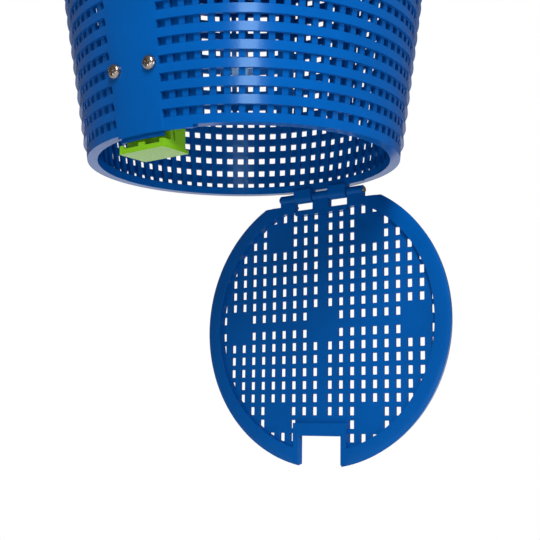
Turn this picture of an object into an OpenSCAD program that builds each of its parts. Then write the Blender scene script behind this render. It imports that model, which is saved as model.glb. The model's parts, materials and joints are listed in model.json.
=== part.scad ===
// Top-entry crab trap: a tapered, perforated basket with a drop-bottom door,
// a flexing latch, an entry funnel, a bait cage and a carrying bail.
// Millimetres, +Z up. The origin is the centre of the line eye on the bail.
// Each module works in basket coordinates, where z = 0 is the bottom of the
// lower rim, -Y is the latch side and +Y is the hinge side.

/* [Basket] */
// Outer radius of the lower rim
rim_r = 110; // [100:1:120]
// Height of the basket from the lower rim to the top lip
basket_h = 232; // [225:1:240]
// Growth of the wall radius for each millimetre of height
taper = 0.147; // [0.13:0.001:0.16]
// Number of places for a window round the wall
places = 80; // [78:2:84]
// Number of window rows
rows = 19; // [17:1:19]
// Distance between window rows
row_pitch = 10.85; // [10.6:0.05:11]
// Height of one wall window
window_h = 4.8; // [4:0.1:5.6]
// Width of a vertical rib
rib_w = 4; // [3.4:0.1:4.4]
// Places left out at the latch strip
blank_places = 4; // [4:2:6]

/* [Lower rim] */
// Height of the lower rim
rim_h = 5.8; // [5.4:0.1:6.4]
// Width of the rim's bottom face
rim_w = 7; // [6:0.5:8]
// Left end of the latch cut-out
cutout_left = -18.6; // [-20:0.1:-18.6]
// Right end of the latch cut-out
cutout_right = 38; // [34:1:42]

/* [Door] */
// Outer radius of the door
door_r = 110.4; // [108:0.1:111]
// Whole thickness of the door
door_t = 6.4; // [6:0.1:6.4]
// Thickness of the perforated plate
plate_t = 3; // [2.4:0.1:4.4]
// Width of the raised border
border_w = 12.4; // [11:0.1:14]
// Column pitch of the door's windows
door_col = 9.9; // [9.7:0.05:10]
// Row pitch of the door's windows
door_row = 10.05; // [9.9:0.05:10.1]
// Half width of the latch notch
notch_half = 19.2; // [19:0.1:20]
// Distance from the door's centre to the notch's inner edge
notch_y = 86.1; // [86:0.1:87]
// Opening angle of the door as it hangs
door_open = 88; // [0:1:115]

/* [Latch] */
// Width of the latch tray
tray_w = 36.6; // [34:0.1:36.6]
// Underside of the tray below the rim
tray_z = -11.7; // [-12:0.1:-11.7]
// Height of the two latch screws above the rim
screw_z = 39.7; // [38:0.1:44]
// Half of the distance between the latch screws
screw_x = 14.5; // [13:0.5:14.5]
// Height of the leaf's flexing line
flex_z = 32; // [30:0.5:33]

/* [Bail] */
// Radius of the bail arch
bail_r = 161; // [158:0.5:166]
// Radius of the bail wire
wire_r = 2.5; // [2:0.1:3]
// Radius of the hole in the line eye
eye_r = 6; // [5:0.5:7]

/* [Hidden] */
$fn = 96;

basket_blue = [0.02, 0.33, 0.70];
door_blue = [0.02, 0.30, 0.64];
steel = [0.72, 0.72, 0.74];
lime = [0.55, 0.80, 0.05];
grip_black = [0.08, 0.08, 0.09];

eps = 0.01;
big = 400;

// Basket wall
wall_r0 = rim_r + 0.7;
place_a = 360 / places;
lean = atan(taper);
row_z0 = rim_h + window_h / 2;
band_t = 2.2;
rib_depth = 2.7;
rib_sink = 1.6;
band_h = row_pitch - window_h;
wall_top_z = row_z0 + (rows - 1) * row_pitch + window_h / 2;
place_w = 2 * PI * wall_r0 / places;
window_w = place_w - rib_w;
blank_half_a = (blank_places + 1) / 2 * place_a - window_w / 2 / wall_r0 * 180 / PI;
strip_t = 4.4;
strip_proud = 0.4;
guard_a = 21.4;
guard_t = 1.6;
guard_foot_a = 10.6;
guard_foot_z = -1;
joint_lap = 2;

// Latch cut-out in the lower rim
skin_t = 2;
skirt_z = -2;
skirt_lap = 0.5;
inner_skin_r = 106;
inner_skin_t = 1.4;
inner_skin_z = -4.3;
inner_skin_left = 10;
inner_skin_right = 9.2;

// Door in its closed place
gap = 0.3;
door_top = -3.2;
door_back = door_top - door_t;
bevel_h = 1.6;
bevel_w = 4;
border_in = door_r - border_w;
shell_t = 2.4;
draft = 1.2;
window_col_w = 4.7;
window_row_h = 6.2;
first_k = 0.68;
edge_reach = 0.9;
chord_y = 96.5;
notch_wall = 4.8;
notch_head = 9.8;
outer_kx = 9;
outer_ky = 8;

// Door hinge
pin_y = 102.4;
pin_z = -5.1;
knuckle_r = 3.5;
basket_knuckle_r = 4.7;
pin_r = 1.5;
run_gap = 0.07;
mid_knuckle = 7.3;
side_knuckle = 24.4;
ear_end = 38;
ear_root = 90.2;
basket_knuckle_in = 8;
basket_knuckle_out = 23.7;
slot_y = 92;
land_y = 88;
land_x = 23.6;

// Latch
leaf_n = -9.4;
leaf_t = 2.6;
leaf_w = 31;
root_top = 54;
flex_gap = 0.8;
tray_floor = 2;
tray_out = 107.6;
tray_in = 83.4;
tray_wall = 1.3;
low_wall_h = 3.3;
side_wall_h = 5.5;
peg_half = 2.5;
corner_w = 3.2;
arm_front = 96.6;
arm_back = 86.7;
arm_join = 100.9;
screw_r = 2.5;
screw_head_r = 4.75;
screw_head_h = 3;
nut_r = 4.6;
nut_h = 4;
washer_r = 5;
washer_h = 1;

// Top of the basket
collar_t = 5;
lip_r = 149;
lip_h = 6;
ledge_z = 222;
ledge_t = 3;
ledge_in = 128;
flange_out = 138;
flange_t = 3;
funnel_mouth = 125;
neck_r = 62;
neck_t = 2.5;
neck_top = 186;
neck_low = 172;
funnel_screw_r = 133;
pivot_z = 219;
boss_r = 7;
boss_in = 138.5;
boss_out = 151;

// Bait cage
bridge_z = 172;
bridge_h = 5;
bridge_w = 7;
cage_r = 22;
cage_t = 2;
cage_low = 136;
lid_t = 2;
lid_pin_y = 25.5;
lid_pin_r = 1;
lid_knuckle_r = 2.6;

// Bail
grip_r = 8;
grip_a = 44;
eye_out = 11;
eye_t = 6;
eye_rise = 15;
eye_z = pivot_z + bail_r + eye_rise;

function wall_r(z) = wall_r0 + taper * z;
function row_z(k) = row_z0 + k * row_pitch;

// Moves basket coordinates to the line eye's.
module in_frame() {
    translate([0, 0, -eye_z]) children();
}

// Local frame on the latch strip at height z: -Y out of the wall, +Z up the slope.
module on_strip(z) {
    translate([0, -wall_r(z), z]) rotate([lean, 0, 0]) children();
}

// Turns a closed door part to its hanging place about the hinge pin.
module hung() {
    translate([0, pin_y, pin_z]) rotate([door_open, 0, 0]) translate([0, -pin_y, -pin_z]) children();
}

// Box from its lowest and highest corner.
module block(low, high) {
    translate(low) cube(high - low);
}

// Cylinder along X between two stations.
module rod_x(x0, x1, y, z, r) {
    translate([x0, y, z]) rotate([0, 90, 0]) cylinder(h = x1 - x0, r = r);
}

// Cylinder along Y between two stations.
module rod_y(y0, y1, z, r) {
    translate([0, y0, z]) rotate([-90, 0, 0]) cylinder(h = y1 - y0, r = r);
}

// Lower rim with the latch cut-out and the basket's two hinge knuckles.
module bottom_rim() {
    color(basket_blue) in_frame() difference() {
        union() {
            difference() {
                cylinder(h = rim_h, r = rim_r);
                translate([0, 0, -1]) cylinder(h = rim_h + 2, r = rim_r - rim_w);
                block([cutout_left, -big, -1], [cutout_right, -90, rim_h + 1]);
            }
            latch_skirt();
            latch_apron();
            for (side = [-1, 1]) basket_knuckle(side);
        }
        rod_x(-ear_end, ear_end, pin_y, pin_z, pin_r);
    }
}

// Outer skin that closes the front of the cut-out and hangs below the rim.
module latch_skirt() {
    intersection() {
        translate([0, 0, skirt_z]) difference() {
            cylinder(h = rim_h - skirt_z, r = rim_r);
            translate([0, 0, -1]) cylinder(h = big, r = rim_r - skin_t);
        }
        block([cutout_left - skirt_lap, -big, skirt_z], [cutout_right + skirt_lap, -90, rim_h]);
    }
}

// Set-back inner skin that covers the front of the latch leaf.
module latch_apron() {
    apron_h = rim_h - inner_skin_z;
    translate([0, 0, inner_skin_z]) intersection() {
        rotate_extrude(angle = inner_skin_left + inner_skin_right, start = -90 - inner_skin_left)
            translate([inner_skin_r, 0]) square([rim_r - skin_t - inner_skin_r + eps, apron_h]);
        union() {
            cylinder(h = apron_h - joint_lap, r = inner_skin_r + inner_skin_t);
            translate([0, 0, apron_h - joint_lap]) cylinder(h = joint_lap, r = rim_r - eps);
        }
    }
}

// Hinge knuckle that hangs under the lower rim.
module basket_knuckle(side) {
    x0 = side > 0 ? basket_knuckle_in : -basket_knuckle_out;
    x1 = side > 0 ? basket_knuckle_out : -basket_knuckle_in;
    rod_x(x0, x1, pin_y, pin_z, basket_knuckle_r);
    block([x0, pin_y - 3.6, pin_z], [x1, pin_y + 4.6, joint_lap]);
}

// Stepped outer hoops, each upright and each wider than the one below.
module wall_bands() {
    color(basket_blue) in_frame()
    rotate_extrude(angle = 360 - 2 * blank_half_a, start = -90 + blank_half_a)
        for (k = [0 : rows - 2]) {
            z = row_z(k) + window_h / 2;
            translate([wall_r(z + band_h / 2) - band_t, z]) square([band_t, band_h]);
        }
}

// Upright ribs behind the hoops.
module wall_ribs() {
    first = blank_places / 2 + 1;
    rib_z = rim_h - joint_lap;
    rib_len = (wall_top_z - rim_h + 2 * joint_lap) / cos(lean);
    color(basket_blue) in_frame()
    for (k = [first : places - first])
        rotate([0, 0, k * place_a]) translate([0, -wall_r(rib_z), rib_z]) rotate([lean, 0, 0])
            translate([-rib_w / 2, rib_sink, 0]) cube([rib_w, rib_depth, rib_len]);
}

// Inner panel that closes the back of the windows beside the latch.
module latch_guard() {
    z0 = rim_h;
    z1 = wall_top_z;
    n0 = strip_t - 0.2;
    n1 = n0 + guard_t;
    start = blank_half_a - 0.5;
    rotate_extrude(angle = guard_a - start, start = -90 + start)
        polygon([
            [wall_r(z0) - n1, z0], [wall_r(z0) - n0, z0],
            [wall_r(z1) - n0, z1], [wall_r(z1) - n1, z1]
        ]);
    rotate_extrude(angle = guard_a - guard_foot_a, start = -90 + guard_foot_a)
        translate([wall_r(z0) - n1, guard_foot_z]) square([guard_t - 0.1, z0 - guard_foot_z + eps]);
}

// Smooth strip without windows that carries the latch, with the guard beside it.
module latch_strip() {
    z0 = rim_h;
    z1 = wall_top_z;
    color(basket_blue) in_frame() difference() {
        union() {
            rotate_extrude(angle = 2 * blank_half_a, start = -90 - blank_half_a)
                polygon([
                    [wall_r(z0) - strip_t, z0], [wall_r(z0) + strip_proud, z0],
                    [wall_r(z1) + strip_proud, z1], [wall_r(z1) - strip_t, z1]
                ]);
            latch_guard();
        }
        for (x = [-screw_x, screw_x])
            on_strip(screw_z) translate([x, 0, 0]) rod_y(-10, 20, 0, screw_r);
    }
}

// Upper collar with the lip, the funnel's ledge and the two bail bosses.
module top_rim() {
    z0 = wall_top_z;
    z1 = basket_h;
    color(basket_blue) in_frame() difference() {
        union() {
            rotate_extrude() polygon([
                [wall_r(z0) - collar_t, z0], [wall_r(z0), z0], [wall_r(z1 - lip_h), z1 - lip_h],
                [lip_r, z1 - lip_h], [lip_r, z1], [wall_r(z1) - collar_t, z1],
                [wall_r(ledge_z + ledge_t) - collar_t, ledge_z + ledge_t], [ledge_in, ledge_z + ledge_t],
                [ledge_in, ledge_z], [wall_r(ledge_z) - collar_t, ledge_z]
            ]);
            rod_y(boss_in, boss_out, pivot_z, boss_r);
            rod_y(-boss_out, -boss_in, pivot_z, boss_r);
        }
        rod_y(-big, -boss_in + 2, pivot_z, wire_r + run_gap);
        rod_y(boss_in - 2, big, pivot_z, wire_r + run_gap);
        for (a = [45 : 90 : 315])
            rotate([0, 0, a]) translate([funnel_screw_r, 0, ledge_z - 1]) cylinder(h = 9, r = 1.6);
    }
}

// Entry funnel with its smooth neck.
module entry_funnel() {
    z = ledge_z + ledge_t;
    color(basket_blue) in_frame() difference() {
        rotate_extrude() polygon([
            [flange_out, z], [flange_out, z + flange_t], [funnel_mouth, z + flange_t],
            [neck_r - neck_t, neck_top], [neck_r - neck_t, neck_low], [neck_r, neck_low],
            [neck_r, neck_top - 1], [funnel_mouth + 1, z]
        ]);
        for (a = [45 : 90 : 315])
            rotate([0, 0, a]) translate([funnel_screw_r, 0, z - 1]) cylinder(h = 9, r = 2);
    }
}

// Four pan-head screws that hold the funnel to the ledge.
module funnel_screws() {
    z = ledge_z + ledge_t + flange_t;
    color(steel) in_frame()
    for (a = [45 : 90 : 315])
        rotate([0, 0, a]) translate([funnel_screw_r, 0, 0]) {
            translate([0, 0, z]) cylinder(h = 2.4, r1 = 3.8, r2 = 3);
            translate([0, 0, z - 7.5]) cylinder(h = 7.5 + eps, r = 1.6);
        }
}

// Bridge across the neck that carries the bait cage.
module bait_bridge() {
    ring_out = neck_r - neck_t;
    color(basket_blue) in_frame() {
        translate([0, 0, neck_low]) difference() {
            cylinder(h = bridge_h, r = ring_out);
            translate([0, 0, -1]) cylinder(h = bridge_h + 2, r = ring_out - 2);
        }
        block([-ring_out + 1, -bridge_w / 2, bridge_z], [ring_out - 1, bridge_w / 2, bridge_z + bridge_h]);
    }
}

// Slotted bait cup that hangs under the bridge.
module bait_cage() {
    color(basket_blue) in_frame() difference() {
        union() {
            translate([0, 0, cage_low]) cylinder(h = bridge_z - cage_low, r = cage_r);
            block([-4, cage_r - 3, cage_low + 1], [4, lid_pin_y, cage_low + 6]);
            rod_x(-4, 4, lid_pin_y, cage_low + 3.4, lid_knuckle_r);
        }
        translate([0, 0, cage_low - 1]) cylinder(h = bridge_z - cage_low - 1, r = cage_r - cage_t);
        for (a = [22.5 : 45 : 157.5], z = [cage_low + 5, cage_low + 20])
            rotate([0, 0, a]) block([-big, -2.5, z], [big, 2.5, z + 11]);
        rod_x(-9, 9, lid_pin_y, cage_low + 3.4, lid_pin_r);
    }
}

// Steel pin of the bait lid.
module bait_lid_pin() {
    color(steel) in_frame() rod_x(-8.2, 8.2, lid_pin_y, cage_low + 3.4, lid_pin_r);
}

// Lid under the bait cup, with two knuckles outside the cup's own.
module bait_lid() {
    lid_top = cage_low - gap;
    color(lime) in_frame() difference() {
        union() {
            translate([0, 0, lid_top - lid_t]) cylinder(h = lid_t, r = cage_r);
            for (side = [-1, 1]) {
                x0 = side > 0 ? 4.3 : -8;
                block([x0, cage_r - 8, lid_top - lid_t], [x0 + 3.7, lid_pin_y + lid_knuckle_r, lid_top]);
                rod_x(x0, x0 + 3.7, lid_pin_y, cage_low + 3.4, lid_knuckle_r);
                block([x0, lid_pin_y - lid_knuckle_r + 0.8, lid_top - lid_t],
                      [x0 + 3.7, lid_pin_y + lid_knuckle_r, cage_low + 3.4]);
            }
        }
        rod_x(-20, 20, lid_pin_y, cage_low + 3.4, lid_pin_r + run_gap);
    }
}

// Raised border of the door: a shell open at the back, cut off at the hinge.
module door_border() {
    intersection() {
        rotate_extrude() polygon([
            [border_in, door_back], [border_in, door_top], [door_r - bevel_w, door_top],
            [door_r, door_top - bevel_h], [door_r - draft, door_back],
            [door_r - draft - shell_t, door_back], [door_r - shell_t, door_top - bevel_h - shell_t],
            [door_r - bevel_w, door_top - shell_t], [border_in + shell_t, door_top - shell_t],
            [border_in + shell_t, door_back]
        ]);
        block([-big, -big, door_back - 1], [big, chord_y, 0]);
    }
}

// Walls round the latch notch and the solid head above it.
module notch_border() {
    out = notch_half + notch_wall;
    intersection() {
        union() {
            for (side = [-1, 1])
                translate([side > 0 ? notch_half : -out, -door_r, door_back])
                    cube([notch_wall, door_r - notch_y + 1, door_top - door_back]);
            block([-out, -notch_y, door_back], [out, -notch_y + notch_head, door_top]);
        }
        translate([0, 0, door_back]) cylinder(h = door_t, r = door_r - draft);
    }
}

// Solid hinge land of the door with its middle knuckle and two ears.
module door_knuckles() {
    for (span = [[-mid_knuckle, mid_knuckle], [side_knuckle, ear_end], [-ear_end, -side_knuckle]]) {
        block([span[0], ear_root, pin_z - knuckle_r], [span[1], pin_y, door_top]);
        rod_x(span[0], span[1], pin_y, pin_z, knuckle_r);
    }
    block([-land_x, land_y, door_back], [land_x, slot_y, door_top]);
    block([-side_knuckle - 1, ear_root, door_back], [side_knuckle + 1, slot_y, door_top]);
}

// Door border, notch walls and hinge knuckles, as one frame.
module door_frame() {
    color(door_blue) in_frame() hung() difference() {
        union() {
            difference() {
                door_border();
                block([-notch_half, -big, -big], [notch_half, -notch_y, 1]);
                for (side = [-1, 1])
                    block([side > 0 ? mid_knuckle : -side_knuckle, slot_y, -big],
                          [side > 0 ? side_knuckle : -mid_knuckle, big, 1]);
            }
            notch_border();
            door_knuckles();
        }
        rod_x(-50, 50, pin_y, pin_z, pin_r + run_gap);
    }
}

// True where the door has a window: step counts of column and row.
function has_window(kx, ky, down) =
    !(kx == 0 && ky == 0)
    && !((kx == 7 || kx == 8) && ky == 0)
    && !((kx == 3 || kx == 4) && (ky == 6 || ky == 7))
    && !(down && ky >= 7 && kx <= 1)
    && norm([step_at(kx, door_col), step_at(ky, door_row)]) < border_in + edge_reach;

// Centre lines of the door's windows on one side.
function step_at(k, pitch) = (first_k + k) * pitch;

// Perforated plate of the door.
module door_grille() {
    lap = 0.5;
    out = notch_half + notch_wall;
    color(door_blue) in_frame() hung()
    translate([0, 0, door_back]) linear_extrude(height = plate_t) difference() {
        intersection() {
            circle(r = border_in + lap);
            translate([-big, -big]) square([2 * big, big + slot_y - lap]);
        }
        translate([-out + lap, -big]) square([2 * (out - lap), big - notch_y + notch_head - lap]);
        translate([-land_x + lap, land_y + lap]) square([2 * (land_x - lap), big]);
        intersection() {
            circle(r = border_in - gap);
            for (sx = [-1, 1], sy = [-1, 1], kx = [0 : outer_kx], ky = [0 : outer_ky])
                if (has_window(kx, ky, sy < 0))
                    translate([sx * step_at(kx, door_col), sy * step_at(ky, door_row)])
                        square([window_col_w, window_row_h], center = true);
        }
    }
}

// Steel hinge pin of the door, with a head at each end.
module door_hinge_pin() {
    color(steel) in_frame() {
        rod_x(-ear_end - 0.3, ear_end + 0.3, pin_y, pin_z, pin_r);
        rod_x(ear_end + 0.2, ear_end + 1.2, pin_y, pin_z, 2.3);
        rod_x(-ear_end - 1.2, -ear_end - 0.2, pin_y, pin_z, 2.3);
    }
}

// Clamped upper end of the latch leaf, above the flexing line.
module latch_root() {
    s0 = (flex_z + flex_gap / 2 - screw_z) / cos(lean);
    s1 = (root_top - screw_z) / cos(lean);
    color(lime) in_frame() on_strip(screw_z) difference() {
        union() {
            block([-leaf_w / 2, -leaf_n, s0], [leaf_w / 2, -leaf_n + leaf_t, s1]);
            for (x = [-screw_x, screw_x]) translate([x, 0, 0]) rod_y(strip_t + 1.4, -leaf_n + eps, 0, washer_r);
        }
        for (x = [-screw_x, screw_x]) translate([x, 0, 0]) rod_y(-10, 30, 0, screw_r);
    }
}

// Side plate that joins the latch tray to the leaf, from x0 outwards.
module latch_arm(x0) {
    translate([x0, 0, 0]) rotate([90, 0, 90]) linear_extrude(height = tray_wall) polygon([
        [-arm_back, tray_z], [-arm_front, tray_z], [-arm_front, -1], [-arm_join, 3],
        [-arm_join, 4.6], [-arm_back, 4]
    ]);
}

// Free part of the latch: the leaf, the two arms and the hooked tray.
module latch_lever() {
    half = tray_w / 2;
    low_top = tray_z + low_wall_h;
    high_top = tray_z + side_wall_h;
    inner = -tray_out + tray_wall;
    color(lime) in_frame() {
        intersection() {
            on_strip(0) block([-half, -leaf_n, -big], [half, -leaf_n + leaf_t, big]);
            union() {
                block([-big, -big, tray_z], [big, 0, rim_h - 1]);
                block([-leaf_w / 2, -big, tray_z], [leaf_w / 2, 0, flex_z - flex_gap / 2]);
            }
        }
        block([-half, -tray_out, tray_z], [half, -tray_in, tray_z + tray_floor]);
        block([-half, -tray_out, tray_z], [half, inner, low_top]);
        block([-peg_half, -tray_out, tray_z], [peg_half, inner, high_top]);
        block([-half, -tray_out, tray_z], [-half + corner_w, inner, high_top]);
        block([half - corner_w, -tray_out, tray_z], [half, inner, high_top]);
        for (x0 = [-half, half - tray_wall]) {
            block([x0, -tray_out, tray_z], [x0 + tray_wall, -arm_front + eps, high_top]);
            latch_arm(x0);
        }
    }
}

// Two pan-head latch screws.
module latch_screws() {
    reach = -leaf_n + leaf_t + washer_h + nut_h - 0.8;
    color(steel) in_frame() on_strip(screw_z)
    for (x = [-screw_x, screw_x]) translate([x, 0, 0]) {
        rod_y(-0.6, reach, 0, screw_r);
        difference() {
            rod_y(-0.6 - screw_head_h, 0.6, 0, screw_head_r);
            block([-3, -1 - screw_head_h, -0.6], [3, -screw_head_h + 1, 0.6]);
            block([-0.6, -1 - screw_head_h, -3], [0.6, -screw_head_h + 1, 3]);
        }
    }
}

// Washers between the leaf and the nuts.
module latch_washers() {
    y0 = -leaf_n + leaf_t;
    color(steel) in_frame() on_strip(screw_z)
    for (x = [-screw_x, screw_x]) translate([x, 0, 0]) difference() {
        rod_y(y0, y0 + washer_h, 0, washer_r);
        rod_y(y0 - 1, y0 + washer_h + 1, 0, screw_r);
    }
}

// Hexagon nuts of the latch screws.
module latch_nuts() {
    y0 = -leaf_n + leaf_t + washer_h;
    color(steel) in_frame() on_strip(screw_z)
    for (x = [-screw_x, screw_x]) translate([x, y0, 0]) rotate([-90, 0, 0]) difference() {
        cylinder(h = nut_h - 0.7, r = nut_r, $fn = 6);
        translate([0, 0, -1]) cylinder(h = nut_h + 2, r = screw_r);
    }
}

// Wire bail with its two inward ends.
module bail_wire() {
    color(steel) in_frame() {
        translate([0, 0, pivot_z]) rotate([90, 0, 90])
            rotate_extrude(angle = 180) translate([bail_r, 0]) circle(r = wire_r);
        for (side = [-1, 1]) {
            translate([0, side * bail_r, pivot_z]) sphere(r = wire_r);
            rod_y(side > 0 ? boss_in + 1 : -bail_r, side > 0 ? bail_r : -boss_in - 1, pivot_z, wire_r);
        }
    }
}

// Hand grip moulded round the top of the bail.
module bail_grip() {
    color(grip_black) in_frame() translate([0, 0, pivot_z]) rotate([90, 0, 90])
        rotate_extrude(angle = grip_a, start = 90 - grip_a / 2) translate([bail_r, 0]) difference() {
            circle(r = grip_r);
            circle(r = wire_r);
        }
}

// Line eye that stands on the grip.
module line_eye() {
    color(steel) in_frame() difference() {
        union() {
            rod_x(-eye_t / 2, eye_t / 2, 0, eye_z, eye_out);
            block([-eye_t / 2, -6, pivot_z + bail_r + grip_r - 2], [eye_t / 2, 6, eye_z - eye_r - 1]);
        }
        rod_x(-big, big, 0, eye_z, eye_r);
    }
}

bottom_rim();
wall_bands();
wall_ribs();
latch_strip();
top_rim();
entry_funnel();
funnel_screws();
bait_bridge();
bait_cage();
bait_lid_pin();
bait_lid();
door_frame();
door_grille();
door_hinge_pin();
latch_root();
latch_lever();
latch_screws();
latch_washers();
latch_nuts();
bail_wire();
bail_grip();
line_eye();
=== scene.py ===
"""Looks of a top-entry crab trap: a perforated basket with a drop-bottom door, a latch and a bail.

Lengths in the tables below are millimetres in basket coordinates, as in the CAD source: z = 0 is the
bottom of the lower rim, -Y is the latch side and +Y is the hinge side. Angles round the basket are
degrees from -Y towards +X.
"""

import json
import math

import bmesh
import bpy
import numpy as np
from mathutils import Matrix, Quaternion, Vector


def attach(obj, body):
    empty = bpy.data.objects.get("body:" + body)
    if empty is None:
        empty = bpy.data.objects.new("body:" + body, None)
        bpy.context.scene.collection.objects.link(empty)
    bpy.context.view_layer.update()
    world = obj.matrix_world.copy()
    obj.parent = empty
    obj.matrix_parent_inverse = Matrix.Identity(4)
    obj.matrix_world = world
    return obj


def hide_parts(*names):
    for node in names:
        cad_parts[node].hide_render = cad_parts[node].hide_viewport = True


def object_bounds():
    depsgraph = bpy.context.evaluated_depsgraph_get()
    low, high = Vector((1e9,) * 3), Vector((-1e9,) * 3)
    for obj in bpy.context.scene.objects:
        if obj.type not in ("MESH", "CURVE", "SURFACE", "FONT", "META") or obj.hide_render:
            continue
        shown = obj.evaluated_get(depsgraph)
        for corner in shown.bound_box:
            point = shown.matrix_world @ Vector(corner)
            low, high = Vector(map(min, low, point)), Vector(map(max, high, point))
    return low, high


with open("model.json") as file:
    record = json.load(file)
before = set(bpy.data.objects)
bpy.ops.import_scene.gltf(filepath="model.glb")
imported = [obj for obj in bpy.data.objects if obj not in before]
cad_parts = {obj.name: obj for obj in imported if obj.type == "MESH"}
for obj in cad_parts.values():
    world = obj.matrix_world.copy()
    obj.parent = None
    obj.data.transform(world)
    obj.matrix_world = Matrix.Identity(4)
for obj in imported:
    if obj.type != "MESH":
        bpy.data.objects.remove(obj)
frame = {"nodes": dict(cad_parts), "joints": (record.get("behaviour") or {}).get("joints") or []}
cad_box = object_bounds()

MM = 0.001
JOINTS = {joint["name"]: joint for joint in frame["joints"]}

# Door hinge pin in basket coordinates
PIN_Y, PIN_Z, KNUCKLE_R = 102.4, -5.1, 4.7
BASKET_KNUCKLES = ((-23.7, -8.0), (8.0, 23.7))
# Outer face and top of the webs that join the knuckles to the rim
WEB_OUT, WEB_TOP = 4.3, 1.0
# Height of z = 0 of the basket in the row frame, in metres
BASE_Z = JOINTS["door_hinge"]["pos_m"][2] - PIN_Z * MM

# Basket wall
RIM_R, RIM_H, RIM_W, SKIN_T = 110.0, 5.8, 7.0, 2.0
TAPER = 0.147
LEAN = math.atan(TAPER)
PLACES, ROWS, ROW_PITCH, WINDOW_H, RIB_W = 80, 19, 10.85, 4.8, 4.0
# Places that the smooth strip covers, and the pieces that its arc is cut into
BLANK_PLACES, STRIP_CUTS = 4, 8
WALL_R0 = RIM_R + 0.7
BAND_T, WALL_T = 1.6, 4.3
STRIP_PROUD, STRIP_FADE = 0.4, 0.1
PLACE_A = 360.0 / PLACES
WINDOW_W = 2 * math.pi * WALL_R0 / PLACES - RIB_W
STRIP_A = (BLANK_PLACES + 1) / 2 * PLACE_A - math.degrees(WINDOW_W / 2 / WALL_R0)
STRIP_BLEND = 0.4
# A hoop's face leans in by this much at its top and out at its foot
HOOP_LEAN = 0.12
# Short levels above the rim and above the topmost row
RIM_STEP, WALL_CAP = 0.05, 1.0
WALL_TOP = RIM_H + (ROWS - 1) * ROW_PITCH + WINDOW_H

# Cut-out of the lower rim at the latch
SKIRT_Z, CUTOUT_RIB, CUTOUT_END = -2.0, 4, 20.2
APRON_START, APRON_END, APRON_IN, APRON_T, APRON_Z = -10.0, 9.2, 106.0, 1.4, -4.3
# Panel that closes the back of the windows beside the latch
GUARD_START, GUARD_END, GUARD_T, GUARD_BITE = 9.4, 21.4, 1.6, 0.05
GUARD_FOOT_START, GUARD_FOOT_Z, GUARD_FOOT_T = 10.6, -1.0, 1.4

# Points of a CAD mesh closer than this, in metres, are one point
WELD_GAP = 2e-6

# Bail: pivot height, arch radius and wire, then the ribbed grip's radius, ribs, half angle and end taper
PIVOT_Z, BAIL_R, WIRE_R = 219.0, 161.0, 2.5
GRIP_R, GRIP_GROOVE, GRIP_RIBS, GRIP_HALF_A, GRIP_CHAMFER = 8.0, 0.9, 17, 22.0, 0.35

# Latch screws: place, domed head, shaft and cross recess; a dome's power below 1 makes it fuller
SCREW_X, SCREW_Z = 14.5, 39.7
DOME_POWER = 0.8
HEAD_R, HEAD_H, HEAD_SEAT, SHAFT_R, SHAFT_END = 4.75, 3.6, 0.6, 2.5, 16.1
RECESS_HALF, RECESS_REACH, RECESS_DEPTH, RECESS_SLOPE = 0.85, 2.75, 2.6, 0.45


def wall_r(z):
    """Outer radius of the wall at height z."""
    return WALL_R0 + TAPER * z


def strip_r(z):
    """Outer radius of the smooth strip at height z; it blends into the rim below the rim's top."""
    below_rim_top = RIM_H - min(z, RIM_H)
    return max(RIM_R, wall_r(z) + STRIP_PROUD - STRIP_FADE * below_rim_top)


def row_frame(points):
    """Basket coordinates in millimetres to the row frame in metres."""
    moved = np.asarray(points, float) * MM
    moved[:, 2] += BASE_Z
    return moved


# ---------------------------------------------------------------- materials


def node_material(name):
    """New node material, with its tree, its principled shader and its object coordinates."""
    material = bpy.data.materials.new(name)
    material.use_nodes = True
    tree = material.node_tree
    shader = tree.nodes["Principled BSDF"]
    coords = tree.nodes.new("ShaderNodeTexCoord")
    return material, tree, shader, coords.outputs["Object"]


def noise(tree, vector, scale, detail=3.0, roughness=0.5):
    """Noise texture on a vector; returns its factor output."""
    node = tree.nodes.new("ShaderNodeTexNoise")
    node.inputs["Scale"].default_value = scale
    node.inputs["Detail"].default_value = detail
    node.inputs["Roughness"].default_value = roughness
    tree.links.new(vector, node.inputs["Vector"])
    return node.outputs["Fac"]


def ramp(tree, factor, stops):
    """Colour ramp with (position, colour) stops; returns its colour output."""
    node = tree.nodes.new("ShaderNodeValToRGB")
    elements = node.color_ramp.elements
    while len(elements) < len(stops):
        elements.new(0.5)
    for element, (position, colour) in zip(elements, stops):
        element.position = position
        element.color = (*colour, 1.0)
    tree.links.new(factor, node.inputs["Fac"])
    return node.outputs["Color"]


def remap(tree, factor, low, high):
    """Maps a 0 to 1 factor to low to high."""
    node = tree.nodes.new("ShaderNodeMapRange")
    node.inputs["To Min"].default_value = low
    node.inputs["To Max"].default_value = high
    tree.links.new(factor, node.inputs["Value"])
    return node.outputs["Result"]


def bump(tree, height, distance, strength, below=None):
    """Bump node on a height; stacks on another bump's normal if one is given."""
    node = tree.nodes.new("ShaderNodeBump")
    node.inputs["Strength"].default_value = strength
    node.inputs["Distance"].default_value = distance
    tree.links.new(height, node.inputs["Height"])
    if below is not None:
        tree.links.new(below, node.inputs["Normal"])
    return node.outputs["Normal"]


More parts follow.
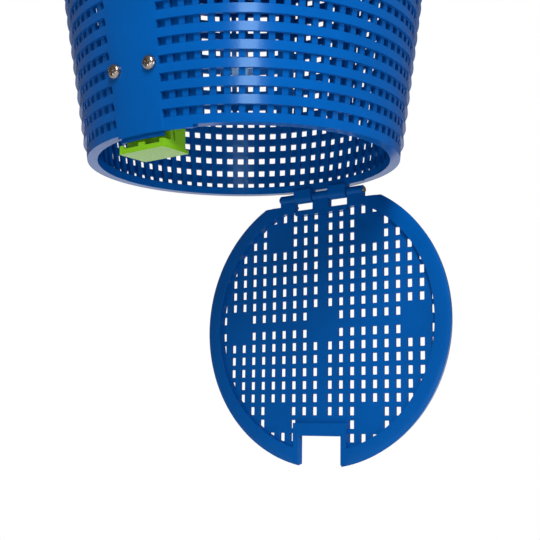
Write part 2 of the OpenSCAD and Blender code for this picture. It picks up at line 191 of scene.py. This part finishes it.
def moulded_plastic(name, colour, spread=0.08, rough=(0.2, 0.3), shine=0.5, tint=(1.0, 1.0, 1.0)):
    """Moulded plastic: slight flow marks in the colour, fine orange peel and handling marks."""
    material, tree, shader, coords = node_material(name)
    flow = noise(tree, coords, 14.0, 4.0, 0.6)
    darker = tuple(c * (1 - spread) for c in colour)
    lighter = tuple(min(1.0, c * (1 + spread)) for c in colour)
    tree.links.new(ramp(tree, flow, ((0.3, darker), (0.7, lighter))), shader.inputs["Base Color"])
    marks = noise(tree, coords, 180.0, 5.0, 0.65)
    tree.links.new(remap(tree, marks, *rough), shader.inputs["Roughness"])
    peel = bump(tree, noise(tree, coords, 420.0, 2.0), 0.00012, 0.25)
    sink = bump(tree, noise(tree, coords, 55.0, 2.0), 0.0004, 0.12, peel)
    tree.links.new(sink, shader.inputs["Normal"])
    shader.inputs["Specular IOR Level"].default_value = shine
    shader.inputs["Specular Tint"].default_value = (*tint, 1.0)
    return material


def turned_steel(name, colour, rough=(0.16, 0.34)):
    """Stainless steel with fine drawing lines and a little tarnish."""
    material, tree, shader, coords = node_material(name)
    tarnish = noise(tree, coords, 160.0, 4.0, 0.6)
    dull = (colour[0] * 0.62, colour[1] * 0.56, colour[2] * 0.5)
    tree.links.new(ramp(tree, tarnish, ((0.35, dull), (0.62, colour))), shader.inputs["Base Color"])
    tree.links.new(remap(tree, noise(tree, coords, 700.0, 3.0), *rough), shader.inputs["Roughness"])
    tree.links.new(bump(tree, noise(tree, coords, 1500.0, 2.0), 0.00004, 0.3), shader.inputs["Normal"])
    shader.inputs["Metallic"].default_value = 1.0
    return material


DEEP = (0.5, 0.8, 1.0)
BLUE = moulded_plastic("basket_blue_pp", (0.001, 0.112, 0.455), rough=(0.12, 0.22), shine=0.2, tint=DEEP)
DOOR_BLUE = moulded_plastic("door_blue_pp", (0.001, 0.108, 0.44), rough=(0.2, 0.3), shine=0.25, tint=DEEP)
LIME = moulded_plastic("lime_pp", (0.24, 0.60, 0.004), 0.06, (0.18, 0.28), shine=1.0)
STEEL = turned_steel("stainless", (0.62, 0.56, 0.52))
GRIP = moulded_plastic("grip_black", (0.018, 0.018, 0.02), 0.2, (0.42, 0.55))


# ---------------------------------------------------------------- mesh helpers


def finish_mesh(name, points, faces, material, body, slot, width=0.3, segments=2, limit=35.0):
    """Object from basket points and faces, with rounded edges, riding on a body."""
    mesh = bpy.data.meshes.new(name)
    mesh.from_pydata(row_frame(points).tolist(), [], faces)
    mesh.validate()
    work = bmesh.new()
    work.from_mesh(mesh)
    bmesh.ops.remove_doubles(work, verts=work.verts, dist=1e-7)
    bmesh.ops.recalc_face_normals(work, faces=work.faces)
    work.to_mesh(mesh)
    work.free()
    piece = bpy.data.objects.new(name, mesh)
    bpy.context.scene.collection.objects.link(piece)
    mesh.materials.append(material)
    soften(piece, width, segments, limit)
    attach(piece, body)
    return piece


def round_edges(piece, width, segments, limit, keep_sharp):
    """Bevel of the given width in millimetres on edges sharper than the limit in degrees."""
    edge = piece.modifiers.new("round_edges", "BEVEL")
    edge.width = width * MM
    edge.segments = segments
    edge.limit_method = "ANGLE"
    edge.angle_limit = math.radians(limit)
    edge.use_clamp_overlap = True
    even = piece.modifiers.new("even_normals", "WEIGHTED_NORMAL")
    even.keep_sharp = keep_sharp


def soften(piece, width, segments, limit):
    """Smooth shading, with rounded edges where a width in millimetres is given."""
    for polygon in piece.data.polygons:
        polygon.use_smooth = True
    piece.data.set_sharp_from_angle(angle=math.radians(limit))
    if width > 0:
        round_edges(piece, width, segments, limit, True)


def dress_cad(node, material, width=0.25, segments=2, limit=35.0):
    """Gives a CAD node its material and rounded edges, without touching its mesh."""
    piece = frame["nodes"][node]
    piece.data.materials.clear()
    piece.data.materials.append(material)
    weld = piece.modifiers.new("weld", "WELD")
    weld.merge_threshold = WELD_GAP
    round_edges(piece, width, segments, limit, False)


def polar(radius, angle, z):
    """Point at an angle in degrees from -Y towards +X."""
    a = math.radians(angle)
    return (radius * math.sin(a), -radius * math.cos(a), z)


def cell_shell(solid, point, ring=False):
    """Faces between full and empty cells of a block of cells.

    solid[i, j, k] says which cells are full, and point(i, j, k) gives the corners. A ring closes on
    itself along i. Returns points, faces.
    """
    padded = np.pad(solid, ((1, 1), (0, 0), (0, 0)), mode="wrap" if ring else "constant")
    padded = np.pad(padded, ((0, 0), (1, 1), (1, 1)))
    ids, points, faces = {}, [], []

    def corner(i, j, k):
        if ring:
            i %= len(solid)
        key = (i, j, k)
        if key not in ids:
            ids[key] = len(points)
            points.append(point(i, j, k))
        return ids[key]

    sides = (
        ((-1, 0, 0), ((0, 0, 0), (0, 0, 1), (0, 1, 1), (0, 1, 0))),
        ((1, 0, 0), ((1, 0, 0), (1, 1, 0), (1, 1, 1), (1, 0, 1))),
        ((0, -1, 0), ((0, 0, 0), (1, 0, 0), (1, 0, 1), (0, 0, 1))),
        ((0, 1, 0), ((0, 1, 0), (0, 1, 1), (1, 1, 1), (1, 1, 0))),
        ((0, 0, -1), ((0, 0, 0), (0, 1, 0), (1, 1, 0), (1, 0, 0))),
        ((0, 0, 1), ((0, 0, 1), (1, 0, 1), (1, 1, 1), (0, 1, 1))),
    )
    for i, j, k in np.argwhere(solid):
        for (di, dj, dk), corners in sides:
            if not padded[i + 1 + di, j + 1 + dj, k + 1 + dk]:
                faces.append([corner(i + a, j + b, k + c) for a, b, c in corners])
    return points, faces


# ---------------------------------------------------------------- basket wall


def wall_columns():
    """Edges of the wall's columns and the kind of each column, once round from the strip.

    An edge is (angle, side): side -1 or 1 is half a rib's width off the angle, so that a rib keeps its
    width as the wall widens.
    """
    smooth_a = STRIP_A - STRIP_BLEND
    first = BLANK_PLACES // 2 + 1
    edges, kinds = [], []
    for step in range(STRIP_CUTS + 1):
        edges.append((-smooth_a + 2 * smooth_a * step / STRIP_CUTS, 0))
        kinds.append("strip")
    edges.append((STRIP_A, 0))
    kinds.append("window")
    for rib in range(first, PLACES - first + 1):
        edges.append((rib * PLACE_A, -1))
        kinds.append("rib")
        edges.append((rib * PLACE_A, 1))
        kinds.append("window")
        if rib == CUTOUT_RIB:
            edges.append((CUTOUT_END, 0))
            kinds.append("window")
    edges.append((360 - STRIP_A, 0))
    kinds.append("strip")
    return edges, kinds


def wall_levels():
    """Heights of the wall's level edges, the kind of each level and the hoop radius at each edge."""
    heights = [SKIRT_Z, 0.0, RIM_H / 2, RIM_H, RIM_H + RIM_STEP]
    kinds = ["skirt", "rim", "rim", "row", "row"]
    radii = [RIM_R - 0.2, RIM_R, RIM_R + 0.3, RIM_R + 0.5, RIM_R + 0.5]
    for row in range(ROWS - 1):
        low = RIM_H + row * ROW_PITCH + WINDOW_H
        high = low + ROW_PITCH - WINDOW_H
        hoop = wall_r((low + high) / 2)
        heights += [low, high]
        kinds += ["hoop", "row"]
        radii += [hoop + HOOP_LEAN, hoop - HOOP_LEAN]
    heights += [WALL_TOP, WALL_TOP + WALL_CAP]
    kinds += ["cap"]
    radii += [wall_r(WALL_TOP), wall_r(WALL_TOP + WALL_CAP)]
    return heights, kinds, radii


def build_wall():
    """One moulding: outer stepped hoops, inner ribs, the smooth strip and the lower rim."""
    edges, columns = wall_columns()
    heights, levels, radii = wall_levels()
    solid = np.zeros((len(columns), len(levels), 2), bool)
    for i, column in enumerate(columns):
        strip = column == "strip"
        cut = strip or edges[i][0] < CUTOUT_END - 0.01
        for j, level in enumerate(levels):
            if level == "skirt":
                solid[i, j, 1] = cut
            elif level == "rim":
                solid[i, j] = (not cut, True)
            else:
                solid[i, j] = (strip or column == "rib", strip or level == "hoop")

    def point(i, j, k):
        angle, side = edges[i]
        z = heights[j]
        in_rim = z <= RIM_H
        middle = RIM_R - SKIN_T if in_rim else wall_r(z) - BAND_T
        inner = RIM_R - RIM_W if in_rim else wall_r(z) - WALL_T
        on_strip = abs(angle) < STRIP_A - 0.01
        outer = strip_r(z) if on_strip else radii[j]
        radius = (inner, middle, outer)[k]
        return polar(radius, angle + side * math.degrees(RIB_W / 2 / radius), z)

    return cell_shell(solid, point, ring=True)


def wall_piece():
    """The wall as one object."""
    points, faces = build_wall()
    wall = finish_mesh("basket_wall", points, faces, BLUE, "basket", "basket_blue", limit=40.0)
    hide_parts("bottom_rim", "wall_bands", "wall_ribs", "latch_strip")


def arc_block(name, radii, heights, angles, **looks):
    """Curved block round the basket axis, each size given as (low, high)."""
    cuts = 12
    start, end = angles

    def point(i, j, k):
        return polar(radii[k], start + (end - start) * i / cuts, heights[j])

    points, faces = cell_shell(np.ones((cuts, 1, 1), bool), point)
    finish_mesh(name, points, faces, BLUE, "basket", "basket_blue", **looks)


def extrude_x(name, outline, x_low, x_high, material, body, slot, **looks):
    """Closed outline of (y, z) points, extruded along X."""
    count = len(outline)
    points = [(x_low, y, z) for y, z in outline] + [(x_high, y, z) for y, z in outline]
    faces = [list(range(count)), list(range(2 * count - 1, count - 1, -1))]
    faces += [[i, i + count, (i + 1) % count + count, (i + 1) % count] for i in range(count)]
    finish_mesh(name, points, faces, material, body, slot, **looks)


def arc(centre, radius, start, end, steps):
    """Points on an arc in a plane, with angles in degrees."""
    return [
        (centre[0] + radius * math.cos(math.radians(a)), centre[1] + radius * math.sin(math.radians(a)))
        for a in np.linspace(start, end, steps)
    ]


def latch_guard():
    """Panel that closes the back of the windows beside the latch strip."""
    cuts = 8
    depth = WALL_T - GUARD_BITE

    def point(i, j, k):
        z = (RIM_H, WALL_TOP)[j]
        radius = wall_r(z) - (depth + GUARD_T, depth)[k]
        return polar(radius, GUARD_START + (GUARD_END - GUARD_START) * i / cuts, z)

    points, faces = cell_shell(np.ones((cuts, 1, 1), bool), point)
    finish_mesh("latch_guard", points, faces, BLUE, "basket", "basket_blue", width=0.2)
    foot_r = wall_r(RIM_H) - depth - 0.1
    arc_block(
        "latch_guard_foot",
        (foot_r - GUARD_FOOT_T, foot_r),
        (GUARD_FOOT_Z, RIM_H + 0.6),
        (GUARD_FOOT_START, GUARD_END - 0.1),
        width=0.2,
    )


def screw_outline():
    """Outline of a screw from the middle of its head, as (radius, distance into the wall)."""
    steps = 24
    turns = [math.radians(90 * step / steps) for step in range(1, steps + 1)]
    dome = [
        (HEAD_R * math.sin(turn) ** DOME_POWER, -HEAD_H * math.cos(turn) ** DOME_POWER) for turn in turns
    ]
    shaft = [(SHAFT_R, HEAD_SEAT), (SHAFT_R, SHAFT_END - 0.5), (SHAFT_R - 0.4, SHAFT_END)]
    return dome + [(HEAD_R - 0.15, HEAD_SEAT)] + shaft


def screw_point(radius, depth, angle, x_centre):
    """Point of a latch screw, with its cross recess, in basket coordinates."""
    x, z = radius * math.cos(angle), radius * math.sin(angle)
    near, far = sorted((abs(x), abs(z)))
    if depth < 0 and near < RECESS_HALF and far < RECESS_REACH:
        depth += RECESS_DEPTH * (1 - RECESS_SLOPE * far / RECESS_REACH)
    lean_cos, lean_sin = math.cos(LEAN), math.sin(LEAN)
    return (
        x_centre + x,
        -wall_r(SCREW_Z) + depth * lean_cos - z * lean_sin,
        SCREW_Z + depth * lean_sin + z * lean_cos,
    )


def latch_screws():
    """The two latch screws with domed heads and cross recesses, as one object."""
    count = 72
    outline = screw_outline()
    points, faces = [], []
    for x_centre in (-SCREW_X, SCREW_X):
        base = len(points)
        for radius, depth in outline:
            points += [
                screw_point(radius, depth, 2 * math.pi * step / count, x_centre) for step in range(count)
            ]
        for ring in range(len(outline) - 1):
            for step in range(count):
                low, high = base + ring * count, base + (ring + 1) * count
                after = (step + 1) % count
                faces.append([low + step, low + after, high + after, high + step])
        last = base + (len(outline) - 1) * count
        faces.append([base + step for step in range(count)])
        faces.append([last + step for step in reversed(range(count))])
    screws = finish_mesh(
        "latch_screw_pair", points, faces, STEEL, "basket", "steel", width=0.0, limit=38.0
    )
    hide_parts("latch_screws")


def basket_knuckles():
    """The two knuckles under the lower rim, each with its web up into the rim."""
    for number, (low, high) in enumerate(BASKET_KNUCKLES):
        outline = arc((PIN_Y, PIN_Z), KNUCKLE_R, 180, 350, 18)
        outline += [(PIN_Y + WEB_OUT, PIN_Z), (PIN_Y + WEB_OUT, WEB_TOP), (PIN_Y - KNUCKLE_R, WEB_TOP)]
        extrude_x(
            f"basket_knuckle_{number + 1}", outline, low, high, BLUE, "basket", "basket_blue", width=0.35
        )


def bail_grip():
    """Ribbed hand grip round the top of the bail, hollow for the wire."""
    around, steps = 40, GRIP_RIBS * 6
    points = []
    for step in range(steps + 1):
        share = step / steps
        angle = math.radians(90 - GRIP_HALF_A + 2 * GRIP_HALF_A * share)
        groove = GRIP_GROOVE * (0.5 + 0.5 * math.cos(2 * math.pi * GRIP_RIBS * share)) ** 3
        end = min(share, 1 - share) * steps
        outer = GRIP_R - (groove if end > 2 else GRIP_CHAMFER * (2 - end))
        for tube in (outer, WIRE_R):
            for turn in np.linspace(0, 2 * math.pi, around, endpoint=False):
                reach = BAIL_R + tube * math.cos(turn)
                along = (reach * math.cos(angle), PIVOT_Z + reach * math.sin(angle))
                points.append((tube * math.sin(turn), *along))
    faces = []
    for step in range(steps):
        for layer in (0, 1):
            low = (2 * step + layer) * around
            high = low + 2 * around
            for i in range(around):
                after = (i + 1) % around
                faces.append([low + i, low + after, high + after, high + i])
    for low in (0, 2 * steps * around):
        for i in range(around):
            after = (i + 1) % around
            faces.append([low + i, low + after, low + around + after, low + around + i])
    grip = finish_mesh("ribbed_grip", points, faces, GRIP, "bail", "grip_black", width=0.0, limit=40.0)
    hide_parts("bail_grip")


# ---------------------------------------------------------------- build

wall_piece()
arc_block("latch_apron", (APRON_IN, APRON_IN + APRON_T), (APRON_Z, RIM_H), (APRON_START, APRON_END))
basket_knuckles()
latch_guard()
latch_screws()
bail_grip()

for node, material in (
    ("top_rim", BLUE),
    ("entry_funnel", BLUE),
    ("bait_bridge", BLUE),
    ("bait_cage", BLUE),
    ("door_frame", DOOR_BLUE),
    ("door_grille", DOOR_BLUE),
    ("latch_root", LIME),
    ("bait_lid", LIME),
    ("latch_washers", STEEL),
    ("latch_nuts", STEEL),
    ("funnel_screws", STEEL),
    ("bait_lid_pin", STEEL),
    ("door_hinge_pin", STEEL),
    ("bail_wire", STEEL),
    ("line_eye", STEEL),
):
    dress_cad(node, material)
dress_cad("latch_lever", LIME, 0.5, 3)


# ---------------------------------------------------------------- camera, light and floor

# Camera: distance and drop from the rim's centre in rim radii, its angles in degrees and its lens
CAMERA_DISTANCE, CAMERA_DROP = 6.314, 1.517
CAMERA_TURN, CAMERA_PITCH, CAMERA_YAW, CAMERA_ROLL = 36.67, 7.49, 1.467, 0.35
CAMERA_LENS = 66.56

# Floor: radius and distance below the object, in metres
FLOOR_R, FLOOR_DROP = 1.45, 0.25


def add_camera():
    """Camera below the rim, looking slightly up, turned towards the hinge's right."""
    turn, pitch = math.radians(CAMERA_TURN), math.radians(CAMERA_PITCH)
    yaw = math.radians(CAMERA_TURN - CAMERA_YAW)
    reach = CAMERA_DISTANCE * RIM_R * MM
    data = bpy.data.cameras.new("camera")
    camera = bpy.data.objects.new("camera", data)
    bpy.context.scene.collection.objects.link(camera)
    camera.location = (
        reach * math.sin(turn),
        -reach * math.cos(turn),
        BASE_Z - CAMERA_DROP * RIM_R * MM,
    )
    ahead = Vector(
        (-math.sin(yaw) * math.cos(pitch), math.cos(yaw) * math.cos(pitch), math.sin(pitch))
    )
    camera.rotation_mode = "QUATERNION"
    roll = Quaternion((0, 0, 1), -math.radians(CAMERA_ROLL))
    camera.rotation_quaternion = ahead.to_track_quat("-Z", "Y") @ roll
    data.lens = CAMERA_LENS
    data.sensor_width = 36.0
    data.dof.use_dof = False
    data.clip_start, data.clip_end = 0.01, 50.0
    bpy.context.scene.camera = camera


def add_panel(name, turn, height, distance, size, power, aim_height):
    """Rectangular soft light at an angle round the basket, aimed at a height on the basket axis."""
    data = bpy.data.lights.new(name, "AREA")
    data.shape = "RECTANGLE"
    data.size, data.size_y = size
    data.energy = power
    panel = bpy.data.objects.new(name, data)
    bpy.context.scene.collection.objects.link(panel)
    a = math.radians(turn)
    place = Vector((distance * math.sin(a), -distance * math.cos(a), BASE_Z + height))
    panel.location = place
    aim = Vector((0, 0, BASE_Z + aim_height)) - place
    panel.rotation_mode = "QUATERNION"
    panel.rotation_quaternion = aim.to_track_quat("-Z", "Y")


def add_world(dim, bright):
    """White backdrop in view; other rays find it bright only low down behind the object."""
    world = bpy.data.worlds.new("studio")
    world.use_nodes = True
    tree = world.node_tree
    background = tree.nodes["Background"]
    background.inputs["Color"].default_value = (1.0, 1.0, 1.0, 1.0)
    yaw = math.radians(CAMERA_TURN - CAMERA_YAW)
    coords = tree.nodes.new("ShaderNodeTexCoord").outputs["Generated"]
    strength = None
    for direction, start, end in (
        ((-math.sin(yaw), math.cos(yaw), 0.0), 0.1, 0.8),
        ((0.0, 0.0, -1.0), -0.1, 0.15),
    ):
        towards = tree.nodes.new("ShaderNodeVectorMath")
        towards.operation = "DOT_PRODUCT"
        towards.inputs[1].default_value = direction
        tree.links.new(coords, towards.inputs[0])
        part = tree.nodes.new("ShaderNodeMapRange")
        part.inputs["From Min"].default_value = start
        part.inputs["From Max"].default_value = end
        tree.links.new(towards.outputs["Value"], part.inputs["Value"])
        if strength is None:
            strength = part.outputs["Result"]
            continue
        both = tree.nodes.new("ShaderNodeMath")
        both.operation = "MULTIPLY"
        tree.links.new(strength, both.inputs[0])
        tree.links.new(part.outputs["Result"], both.inputs[1])
        strength = both.outputs["Value"]
    path = tree.nodes.new("ShaderNodeLightPath")
    choose = tree.nodes.new("ShaderNodeMix")
    choose.inputs["B"].default_value = 1.0
    tree.links.new(path.outputs["Is Camera Ray"], choose.inputs["Factor"])
    tree.links.new(remap(tree, strength, dim, bright), choose.inputs["A"])
    tree.links.new(choose.outputs["Result"], background.inputs["Strength"])
    bpy.context.scene.world = world


def add_floor(glow):
    """Plain pale floor below the hanging door, which throws light up."""
    work = bmesh.new()
    bmesh.ops.create_circle(work, cap_ends=True, segments=96, radius=FLOOR_R)
    mesh = bpy.data.meshes.new("floor")
    work.to_mesh(mesh)
    work.free()
    floor = bpy.data.objects.new("floor", mesh)
    floor.location = (0, 0, cad_box[0].z - FLOOR_DROP)
    bpy.context.scene.collection.objects.link(floor)
    material, _, shader, _ = node_material("pale_floor")
    shader.inputs["Base Color"].default_value = (0.9, 0.9, 0.9, 1.0)
    shader.inputs["Roughness"].default_value = 0.9
    shader.inputs["Emission Color"].default_value = (1.0, 1.0, 1.0, 1.0)
    shader.inputs["Emission Strength"].default_value = glow
    mesh.materials.append(material)


add_camera()
add_world(dim=0.12, bright=1.0)
add_floor(glow=0.15)
for name, turn, height, distance, size, power, aim_height in (
    ("key", 3, 0.95, 1.6, (0.42, 1.0), 25.0, 0.05),
    ("side", 66, -0.3, 1.6, (0.5, 0.6), 5.0, -0.1),
    ("low", -12, -0.45, 1.3, (1.2, 0.4), 3.0, -0.1),
):
    add_panel(name, CAMERA_TURN + turn, height, distance, size, power, aim_height)
bpy.context.scene.view_settings.view_transform = "Standard"
